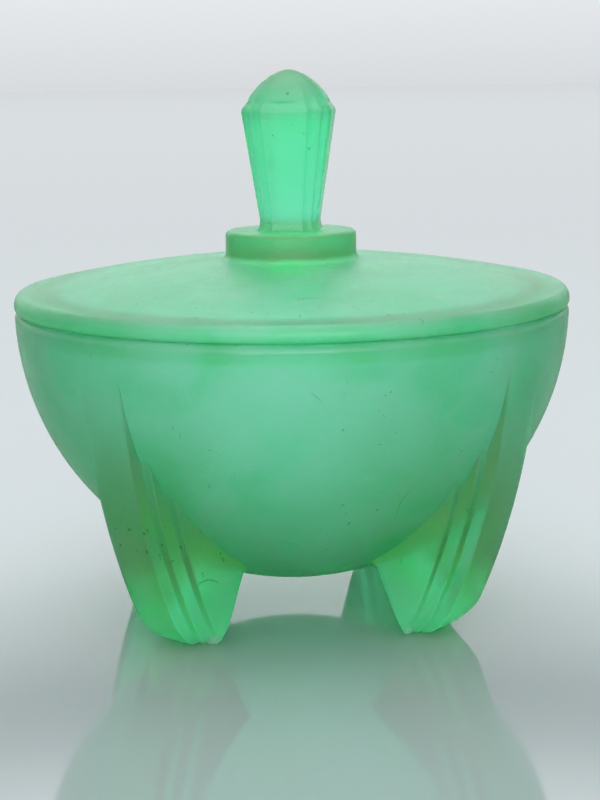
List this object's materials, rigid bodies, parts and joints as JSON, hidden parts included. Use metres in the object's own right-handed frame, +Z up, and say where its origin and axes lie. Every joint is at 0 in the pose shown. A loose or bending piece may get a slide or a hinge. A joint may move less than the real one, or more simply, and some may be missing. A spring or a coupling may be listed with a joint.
{
  "type": "powder jar",
  "caption": "Round lidded powder jar in satin green pressed glass: hemispherical bowl on stepped fin feet, shallow domed lid with collar and faceted knob, lifts straight off",
  "frame": {"origin": "on the jar's vertical axis, at the surface the four feet stand on", "axes": "+Z up along the knob; the feet stand on the diagonals of X and Y, so -Y looks between two feet"},
  "size_m": [0.127, 0.127, 0.1242],
  "materials": {
    "bowl_glass": "acid-frosted satin, translucent green",
    "lid_glass": "acid-frosted satin, translucent green"
  },
  "bodies": {
    "bowl": {"footed_bowl": "bowl_glass"},
    "lid": {"lid": "lid_glass"}
  },
  "joints": [
    {"name": "lid_lift", "type": "slide", "parent": "bowl", "child": "lid", "axis": [0, 0, 1], "range_m": [0, 0.05]}
  ]
}
